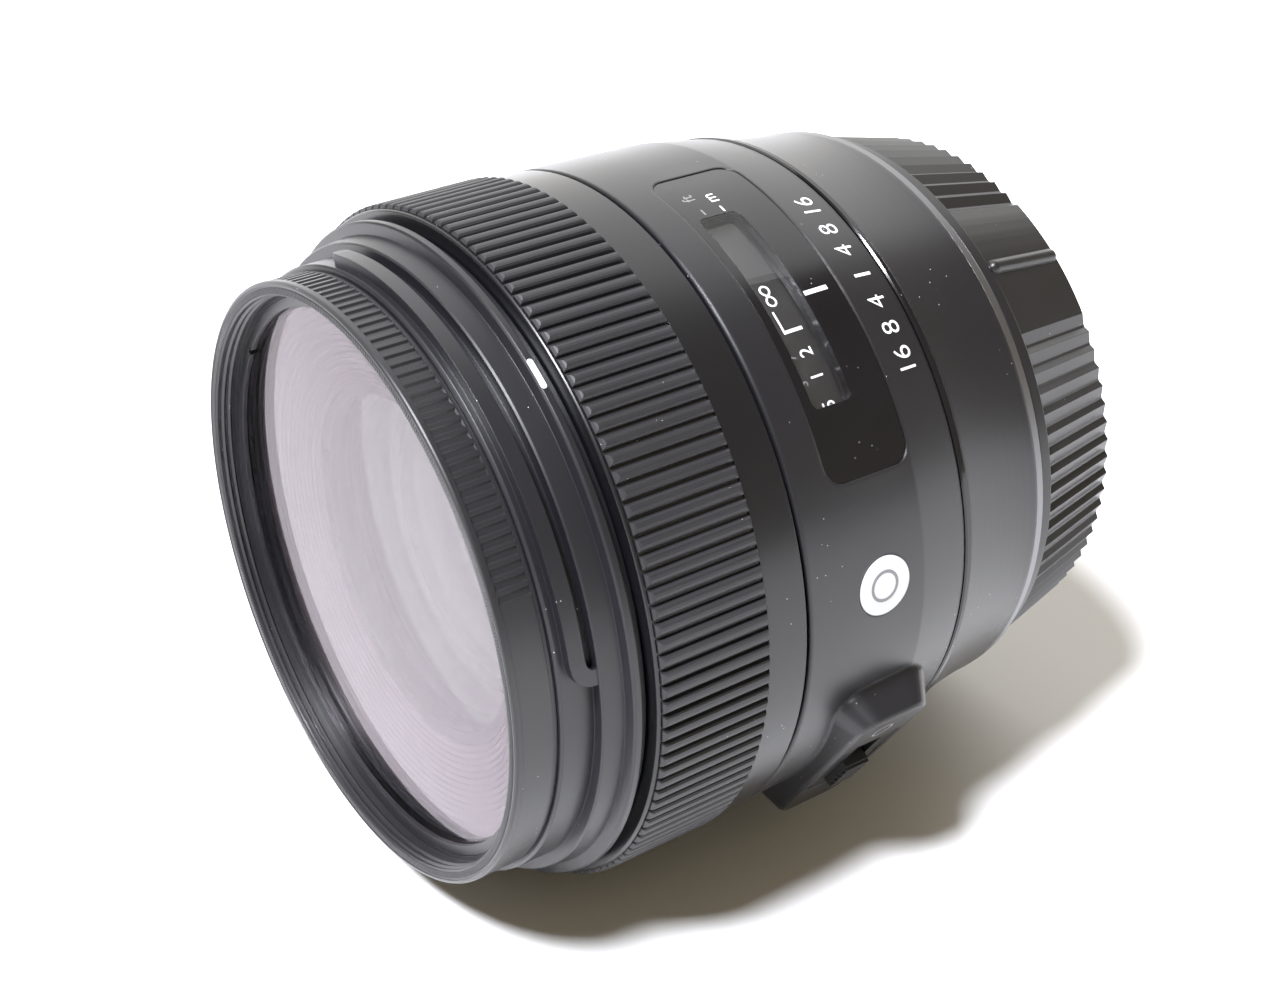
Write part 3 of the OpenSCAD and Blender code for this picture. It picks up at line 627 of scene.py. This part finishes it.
NODE_FINISHES: dict[str, Sequence[str]] = {
    "barrel_enamel": ("main_barrel", "rear_barrel"),
    "ring_enamel": ("focus_ring_sleeve", "switch_plate"),
    "front_enamel": ("front_barrel",),
    "grip_rubber": ("focus_grip",),
    "trim_gloss": ("trim_ring",),
    "plate_gloss": ("window_plate",),
    "scale_black": ("distance_scale_ring",),
    "badge_enamel": ("badge",),
    "filter_anodised": ("filter_frame", "filter_retaining_ring"),
    "cell_paint": ("front_cell", "front_retaining_ring", "focus_cell", "diaphragm_base", "diaphragm_cover"),
    "baffle_flock": ("front_baffle", "rear_baffle"),
    "machined_alloy": ("inner_barrel", "focus_drive_ring", "roller_carrier"),
    "cam_brass": ("focus_cam_ring", "cam_followers", "aperture_drive_ring", "aperture_pinion"),
    "ground_steel": (
        "motor_rotor", "motor_wave_spring", "roller_1", "roller_2", "roller_3", "aperture_motor",
        "mount_screws",
    ),
    "stator_bronze": ("motor_stator",),
    "blade_film": tuple(f"aperture_blade_{number}" for number in range(1, 10)),
    "mount_plate": ("mount_bayonet",),
    "contact_gold": ("contact_pins",),
    "moulded_black": ("contact_block",),
    "board_mask": ("main_board",),
    "knob_moulding": ("switch_knob",),
    "cap_moulding": ("rear_cap",),
    "filter_glass": ("filter_glass",),
    "coated_glass": ("front_element",) + tuple(f"element_{number}" for number in range(2, 10)),
    "window_pane": ("scale_window",),
}


@dataclass
class Palette:
    """All finishes, built once."""

    effects: SharedEffects = field(default_factory=SharedEffects)
    materials: dict[str, bpy.types.Material] = field(default_factory=dict)

    def get(self, name: str) -> bpy.types.Material:
        """Finds a material, and builds it on first use.

        Args:
            name: The finish's name.

        Returns:
            The material.
        """
        if name not in self.materials:
            self.materials[name] = FINISHES[name].build(self.effects)
        return self.materials[name]

    def dress_nodes(self) -> None:
        """Gives every carried-over node its finish."""
        for finish, nodes in NODE_FINISHES.items():
            for node in nodes:
                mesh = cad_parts[node].data
                mesh.materials.clear()
                mesh.materials.append(self.get(finish))
                LOG.info("%s: dressed in %s", node, finish)


# ---------------------------------------------------------------- markings


@dataclass
class Markings:
    """Painted numbers, lines and index marks. Lengths are in millimetres."""

    palette: Palette
    paint: float = 0.02
    ring_steps: int = 48
    corner_steps: int = 4

    def numeral(self, name: str, words: str, size: float, surface: Surface, place: Place, body: Body,
                finish: str = "marking_white", bold: float = 0.0) -> bpy.types.Object:
        """Paints numbers on a round surface.

        Args:
            name: The piece's name.
            words: The numbers.
            size: Height of the type.
            surface: The surface that is painted.
            place: Angle and height of the middle.
            body: The body that it rides on.
            finish: The paint.
            bold: How far the strokes are thickened.

        Returns:
            The painted piece.
        """
        deselect_all()
        bpy.ops.object.text_add()
        text = bpy.context.object
        text.data.body = words
        text.data.size = size
        text.data.align_x = "CENTER"
        text.data.align_y = "CENTER"
        text.data.extrude = self.paint
        text.data.offset = bold
        text.data.resolution_u = self.corner_steps
        bpy.ops.object.convert(target="MESH")
        piece = bpy.context.object
        self.cut_fine(piece)
        wrap(piece, surface, *place)
        recalculate_outside(piece)
        return finish_piece(piece, name, body, self.palette.get(finish))

    def cut_fine(self, piece: bpy.types.Object) -> None:
        """Cuts a flat marking across every millimetre so that it can bend.

        Args:
            piece: The flat mesh object.
        """
        low = min(vertex.co.x for vertex in piece.data.vertices)
        high = max(vertex.co.x for vertex in piece.data.vertices)
        deselect_all()
        piece.select_set(True)
        bpy.context.view_layer.objects.active = piece
        bpy.ops.object.mode_set(mode="EDIT")
        for step in range(math.ceil(low), math.floor(high) + 1):
            bpy.ops.mesh.select_all(action="SELECT")
            bpy.ops.mesh.bisect(plane_co=(step, 0, 0), plane_no=(1, 0, 0))
        bpy.ops.object.mode_set(mode="OBJECT")

    def bar(self, name: str, size: tuple[float, float], surface: Surface, place: Place, body: Body,
            finish: str = "marking_white", rounding: float = 0.0) -> bpy.types.Object:
        """Paints a straight bar.

        Args:
            name: The piece's name.
            size: Its size round the barrel and along the axis.
            surface: The surface that is painted.
            place: Angle and height of its middle.
            body: The body that it rides on.
            finish: The paint.
            rounding: Radius of its corners.

        Returns:
            The painted piece.
        """
        deselect_all()
        bpy.ops.mesh.primitive_plane_add(size=1.0)
        piece = bpy.context.object
        bpy.ops.object.mode_set(mode="EDIT")
        bpy.ops.mesh.select_all(action="SELECT")
        bpy.ops.transform.resize(value=(*size, 1.0))
        if rounding > 0.0:
            bpy.ops.mesh.bevel(affect="VERTICES", offset=rounding, segments=self.corner_steps)
        bpy.ops.mesh.select_all(action="SELECT")
        bpy.ops.mesh.extrude_region_move(TRANSFORM_OT_translate={"value": (0.0, 0.0, self.paint)})
        bpy.ops.object.mode_set(mode="OBJECT")
        self.cut_fine(piece)
        wrap(piece, surface, *place)
        recalculate_outside(piece)
        return finish_piece(piece, name, body, self.palette.get(finish))


    def ring(self, name: str, radii: tuple[float, float], surface: Surface, place: Place, body: Body,
             finish: str) -> bpy.types.Object:
        """Paints a thin ring.

        Args:
            name: The piece's name.
            radii: Its outer and inner radius.
            surface: The surface that is painted.
            place: Angle and height of its middle.
            body: The body that it rides on.
            finish: The paint.

        Returns:
            The painted piece.
        """
        outer, inner = radii
        deselect_all()
        bpy.ops.mesh.primitive_circle_add(vertices=self.ring_steps, radius=outer)
        piece = bpy.context.object
        bpy.ops.object.mode_set(mode="EDIT")
        bpy.ops.mesh.select_all(action="SELECT")
        bpy.ops.mesh.extrude_region_move()
        bpy.ops.transform.resize(value=(inner / outer, inner / outer, 1.0))
        bpy.ops.mesh.select_all(action="SELECT")
        bpy.ops.mesh.extrude_region_move(TRANSFORM_OT_translate={"value": (0.0, 0.0, self.paint)})
        bpy.ops.object.mode_set(mode="OBJECT")
        wrap(piece, surface, *place)
        recalculate_outside(piece)
        return finish_piece(piece, name, body, self.palette.get(finish))


@dataclass
class DistanceScale:
    """The numbers on the drum under the window, and the marks on the window plate."""

    markings: Markings
    drum: Surface = field(default_factory=lambda: Surface("distance_scale_ring", 34.0))
    plate: Surface = field(default_factory=lambda: Surface("window_plate", 36.2))
    metre_height: float = 25.3
    feet_height: float = 27.2
    metre_size: float = 2.15
    feet_size: float = 1.5
    metres: tuple = (("2", 81.2), ("1", 76.8), (".5", 71.2), (".4", 64.0), (".3", 53.0))
    feet: tuple = (("7", 81.0), ("3", 76.2), ("2", 69.8), ("1.5", 61.6), ("1", 52.5))
    infinity_size: float = 3.2
    infinity_place: Place = (92.7, 26.0)
    thinned: float = -0.03
    brackets: tuple = (
        ("infinity_bracket_leg", (2.4, 0.22), (87.6, 26.6)),
        ("infinity_bracket_arm", (0.36, 2.3), (85.5, 25.55)),
    )
    index_size: tuple[float, float] = (0.5, 2.9)
    index_place: Place = (89.5, 22.3)
    label_size: float = 2.1
    labels: tuple = (
        ("feet_label", "ft", (114.2, 27.5), "marking_grey"),
        ("metre_label", "m", (113.0, 25.2), "marking_white"),
    )
    tick_size: tuple[float, float] = (0.9, 0.2)
    ticks: tuple = (
        ("feet_tick", (110.0, 27.5), "marking_grey"),
        ("metre_tick", (109.8, 25.2), "marking_white"),
    )

    def build(self) -> None:
        """Paints every number and mark."""
        self.paint_drum()
        self.paint_plate()

    def paint_drum(self) -> None:
        """Paints the distances and the infinity bracket on the drum."""
        marks = self.markings
        for words, angle in self.metres:
            marks.numeral(f"metre_mark_{words.replace('.', '0')}", words, self.metre_size, self.drum,
                          (angle, self.metre_height), Body.SCALE)
        for index, (words, angle) in enumerate(self.feet):
            marks.numeral(f"feet_mark_{index + 1}", words, self.feet_size, self.drum,
                          (angle, self.feet_height), Body.SCALE, "marking_grey")
        marks.numeral("infinity_mark", "\u221e", self.infinity_size, self.drum, self.infinity_place,
                      Body.SCALE, bold=self.thinned)
        for name, size, place in self.brackets:
            marks.bar(name, size, self.drum, place, Body.SCALE)

    def paint_plate(self) -> None:
        """Paints the index line and the names of the two scales on the window plate."""
        marks = self.markings
        marks.bar("index_line", self.index_size, self.plate, self.index_place, Body.BARREL)
        for name, words, place, finish in self.labels:
            marks.numeral(name, words, self.label_size, self.plate, place, Body.BARREL, finish)
        for name, place, finish in self.ticks:
            marks.bar(name, self.tick_size, self.plate, place, Body.BARREL, finish)


@dataclass
class BarrelMarks:
    """The number band behind the window, the hood index, the badge's ring and the switch marks."""

    markings: Markings
    barrel: Surface = field(default_factory=lambda: Surface("main_barrel", 35.8))
    panel: Surface = field(default_factory=lambda: Surface("main_barrel", 38.0))
    front: Surface = field(default_factory=lambda: Surface("front_barrel", 35.9))
    badge: Surface = field(default_factory=lambda: Surface("badge", 36.4))
    top_angle: float = 90.0
    band: tuple = (("16", 15.8), ("8", 10.0), ("4", 5.2))
    band_height: float = 15.75
    band_size: float = 3.3
    thinned: float = -0.03
    centre_size: tuple[float, float] = (0.35, 2.2)
    hood_index_size: tuple[float, float] = (3.3, 0.62)
    hood_index_place: Place = (90.7, 54.4)
    hood_index_rounding: float = 0.28
    badge_ring: tuple[float, float] = (1.75, 1.4)
    badge_place: Place = (40.7, 24.85)
    switch_ring: tuple[float, float] = (1.25, 1.0)
    switch_ring_place: Place = (13.0, 24.0)
    switch_bars: tuple = (
        ("switch_line", (2.6, 0.3), (4.6, 20.4)),
        ("switch_dash", (0.9, 0.3), (-4.6, 20.4)),
    )

    def build(self) -> None:
        """Paints every number and mark."""
        marks = self.markings
        self.paint_band()
        marks.bar("hood_index", self.hood_index_size, self.front, self.hood_index_place, Body.BARREL,
                  rounding=self.hood_index_rounding)
        marks.ring("badge_ring", self.badge_ring, self.badge, self.badge_place, Body.BARREL, "marking_grey")
        marks.ring("switch_ring", self.switch_ring, self.panel, self.switch_ring_place, Body.BARREL,
                   "marking_grey")
        for name, size, place in self.switch_bars:
            marks.bar(name, size, self.panel, place, Body.BARREL)

    def paint_band(self) -> None:
        """Paints the depth-of-field numbers in pairs on both sides of their centre line."""
        marks = self.markings
        for words, away in self.band:
            for side, name in ((1.0, "left"), (-1.0, "right")):
                marks.numeral(f"depth_mark_{words}_{name}", words, self.band_size, self.barrel,
                              (self.top_angle + side * away, self.band_height), Body.BARREL,
                              bold=self.thinned)
        marks.bar("depth_centre", self.centre_size, self.barrel, (self.top_angle, self.band_height),
                  Body.BARREL)


# ---------------------------------------------------------------- glass


@dataclass
class Element:
    """One optical element, finely turned so that it reflects clean circles.

    Positive radii bulge outwards, negative ones are hollow and 0 is flat. Lengths are in millimetres.
    """

    node: str
    front_r: float
    back_r: float
    finish: str = "inner_glass"
    rings: int = 24
    steps: int = 144
    sharp_from: float = 30.0

    def build(self, palette: Palette) -> bpy.types.Object:
        """Turns the element and lets it stand for its node.

        Args:
            palette: The finishes.

        Returns:
            The turned piece.
        """
        low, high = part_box(self.node)
        rim = 0.5 * (high[0] - low[0]) / MM
        front, back = -low[1] / MM, -high[1] / MM
        outline = [(rim * step / self.rings, front - self.fall(self.front_r, rim, step))
                   for step in range(self.rings + 1)]
        outline += [(rim * step / self.rings, back + self.fall(self.back_r, rim, step))
                    for step in range(self.rings, -1, -1)]
        piece = turn_on_lathe(outline, self.steps)
        smooth_over(piece, self.sharp_from)
        finish_piece(piece, self.node + "_ground", Body.BARREL, palette.get(self.finish))
        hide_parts(self.node)
        return piece

    def fall(self, surface_r: float, rim: float, step: int) -> float:
        """Works out how far the surface lies inside the element's outermost plane at one ring.

        Args:
            surface_r: The surface's radius.
            rim: The element's radius.
            step: The ring's number, counted from the axis.

        Returns:
            The depth in millimetres.
        """
        if surface_r == 0.0:
            return 0.0
        away = rim * step / self.rings
        bow = abs(surface_r)
        sag = bow - math.sqrt(bow * bow - away * away)
        full = bow - math.sqrt(bow * bow - rim * rim)
        return sag if surface_r > 0.0 else full - sag


# ---------------------------------------------------------------- filter details


@dataclass
class FilterDetails:
    """The fine thread and the fine serrations on the front of the filter. Lengths are in millimetres."""

    palette: Palette
    thread_r: float = 30.95
    thread_depth: float = 0.22
    thread_pitch: float = 0.75
    thread_back: float = 63.55
    thread_root: float = 0.05
    flank_share: float = 0.4
    turns: int = 2
    thread_steps: int = 120
    sharp_from: float = 20.0
    teeth: int = 600
    face_r: tuple = (31.15, 31.85)
    face_height: float = 65.8
    tooth_height: float = 0.06
    tooth_share: float = 0.55

    def build(self) -> None:
        """Adds the thread and the serrations."""
        self.build_thread()
        self.build_teeth()

    def build_thread(self) -> None:
        """Winds a ridge along a helix inside the front of the filter."""
        deselect_all()
        bpy.ops.mesh.primitive_circle_add(vertices=3, radius=1.0)
        ridge = bpy.context.object
        half = self.flank_share * self.thread_pitch
        root = self.thread_r + self.thread_root
        corners = ((root, -half), (self.thread_r - self.thread_depth, 0.0), (root, half))
        for vertex, (radius, along) in zip(ridge.data.vertices, corners):
            vertex.co = Vector((radius, 0.0, self.thread_back + half + along)) * MM
        winding = ridge.modifiers.new("winding", "SCREW")
        winding.axis = "Z"
        winding.steps = self.thread_steps
        winding.render_steps = self.thread_steps
        winding.screw_offset = self.thread_pitch * MM
        winding.iterations = self.turns
        bpy.ops.object.modifier_apply(modifier="winding")
        for vertex in ridge.data.vertices:
            vertex.co = (vertex.co.x, -vertex.co.z, vertex.co.y)
        bpy.ops.object.mode_set(mode="EDIT")
        bpy.ops.mesh.select_all(action="DESELECT")
        bpy.ops.mesh.select_non_manifold()
        bpy.ops.mesh.edge_face_add()
        bpy.ops.object.mode_set(mode="OBJECT")
        recalculate_outside(ridge)
        smooth_over(ridge, self.sharp_from)
        finish_piece(ridge, "filter_thread_ridge", Body.FILTER, self.palette.get("filter_anodised"))

    def build_teeth(self) -> None:
        """Stands a ring of fine teeth on the filter's front face."""
        deselect_all()
        bpy.ops.mesh.primitive_cube_add(size=1.0)
        tooth = bpy.context.object
        inner, outer = self.face_r
        pitch = math.tau * inner / self.teeth
        bpy.ops.object.mode_set(mode="EDIT")
        bpy.ops.mesh.select_all(action="SELECT")
        size = Vector((outer - inner, self.tooth_height, self.tooth_share * pitch)) * MM
        middle = Vector((0.5 * (inner + outer), -self.face_height - 0.5 * self.tooth_height, 0.0)) * MM
        bpy.ops.transform.resize(value=size)
        bpy.ops.transform.translate(value=middle)
        bpy.ops.object.mode_set(mode="OBJECT")
        deselect_all()
        copies = [tooth]
        for number in range(1, self.teeth):
            copy = bpy.data.objects.new("tooth", tooth.data.copy())
            bpy.context.collection.objects.link(copy)
            copy.data.transform(Matrix.Rotation(math.tau * number / self.teeth, 4, "Y"))
            copies.append(copy)
        for copy in copies:
            copy.select_set(True)
        bpy.context.view_layer.objects.active = tooth
        bpy.ops.object.join()
        finish_piece(tooth, "filter_face_teeth", Body.FILTER, self.palette.get("filter_anodised"))


# ---------------------------------------------------------------- studio


@dataclass
class Studio:
    """The floor, the lights and the camera. Lengths are in metres, the camera's own in millimetres."""

    floor_size: float = 8.0
    floor_colour: Colour = (0.8, 0.8, 0.8)
    floor_roughness: float = 0.9
    floor_specular: float = 0.1
    sun_strength: float = 9.8
    sun_colour: Colour = (0.97, 0.985, 1.05)
    sun_angle: float = 14.0
    sun_from: tuple = (0.089, -0.472, 0.877)
    sky_low: Colour = (0.40, 0.34, 0.225)
    sky_high: Colour = (0.25, 0.205, 0.135)
    panel_from: tuple = (-0.70, 0.49, 0.53)
    panel_away: float = 1.2
    panel_size: float = 1.8
    panel_glow: float = 1.9
    panel_colour: Colour = (0.97, 0.985, 1.01)
    lens_length: float = 58.37
    sensor_width: float = 36.0
    camera_place: tuple = (0.1625, -0.1427, 0.120)
    camera_forward: tuple = (-0.69735, 0.48675, -0.52610)
    camera_nearest: float = 0.005

    def build(self) -> None:
        """Builds the whole studio."""
        self.build_floor()
        self.build_light()
        self.build_camera()

    def build_floor(self) -> None:
        """Lays the pale floor under the lens."""
        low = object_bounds()[0]
        deselect_all()
        bpy.ops.mesh.primitive_plane_add(size=self.floor_size, location=(0.0, 0.0, low[2]))
        floor = bpy.context.object
        floor.name = "floor"
        paper = bpy.data.materials.new("floor_paper")
        paper.use_nodes = True
        shader = paper.node_tree.nodes["Principled BSDF"]
        shader.inputs["Base Color"].default_value = (*self.floor_colour, 1.0)
        shader.inputs["Roughness"].default_value = self.floor_roughness
        shader.inputs["Specular IOR Level"].default_value = self.floor_specular
        floor.data.materials.append(paper)
        floor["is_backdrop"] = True

    def build_light(self) -> None:
        """Hangs the key light and the soft panel, and fills the room around."""
        key = self.hang("key_light", "SUN", self.sun_from, self.sun_strength, self.sun_colour)
        key.angle = math.radians(self.sun_angle)
        panel_energy = self.panel_glow * math.pi * self.panel_size ** 2
        panel = self.hang("soft_panel", "AREA", self.panel_from, panel_energy, self.panel_colour)
        panel.size = self.panel_size
        world = bpy.data.worlds.new("room")
        bpy.context.scene.world = world
        world.use_nodes = True
        tree = world.node_tree
        place = add_node(tree, "TexCoord")
        split = add_node(tree, "SeparateXYZ")
        ramp = add_node(tree, "ValToRGB")
        ramp.color_ramp.elements[0].color = (*self.sky_low, 1.0)
        ramp.color_ramp.elements[1].color = (*self.sky_high, 1.0)
        tree.links.new(place.outputs["Generated"], split.inputs[0])
        tree.links.new(split.outputs["Z"], ramp.inputs["Fac"])
        tree.links.new(ramp.outputs["Color"], tree.nodes["Background"].inputs["Color"])

    def hang(self, name: str, kind: str, toward: tuple, strength: float, colour: Colour) -> bpy.types.Light:
        """Hangs one light that points at the lens.

        Args:
            name: The light's name.
            kind: SUN or AREA.
            toward: Direction in which it hangs, seen from the lens.
            strength: Its energy.
            colour: Its colour.

        Returns:
            The light's data.
        """
        lamp = bpy.data.lights.new(name, kind)
        lamp.energy = strength
        lamp.color = colour
        holder = bpy.data.objects.new(name, lamp)
        bpy.context.scene.collection.objects.link(holder)
        place = Vector(toward).normalized()
        holder.location = place * self.panel_away
        holder.rotation_euler = (-place).to_track_quat("-Z", "Y").to_euler()
        return lamp

    def build_camera(self) -> None:
        """Stands the camera in front and above."""
        camera = bpy.data.objects.new("camera", bpy.data.cameras.new("camera"))
        bpy.context.scene.collection.objects.link(camera)
        camera.data.lens = self.lens_length
        camera.data.sensor_width = self.sensor_width
        camera.data.sensor_fit = "HORIZONTAL"
        camera.data.clip_start = self.camera_nearest
        camera.location = self.camera_place
        camera.rotation_euler = Vector(self.camera_forward).to_track_quat("-Z", "Y").to_euler()
        bpy.context.scene.camera = camera
        view = bpy.context.scene.view_settings
        view.view_transform = "Standard"
        view.look = "None"
        view.exposure = 0.0
        view.gamma = 1.0


def main() -> None:
    """Builds the lens's looks in order."""
    logging.basicConfig(level=logging.INFO, format="%(name)s: %(message)s")
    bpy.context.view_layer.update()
    Studio().build()
    palette = Palette()
    palette.dress_nodes()
    markings = Markings(palette)
    DistanceScale(markings).build()
    BarrelMarks(markings).build()
    for element in (Element("front_element", 190.0, -90.0, "front_glass"), Element("element_2", 60.0, -80.0),
                    Element("element_3", 60.0, -35.0), Element("element_4", 30.0, 0.0)):
        element.build(palette)
    FilterDetails(palette).build()


if __name__ == "__main__":
    main()
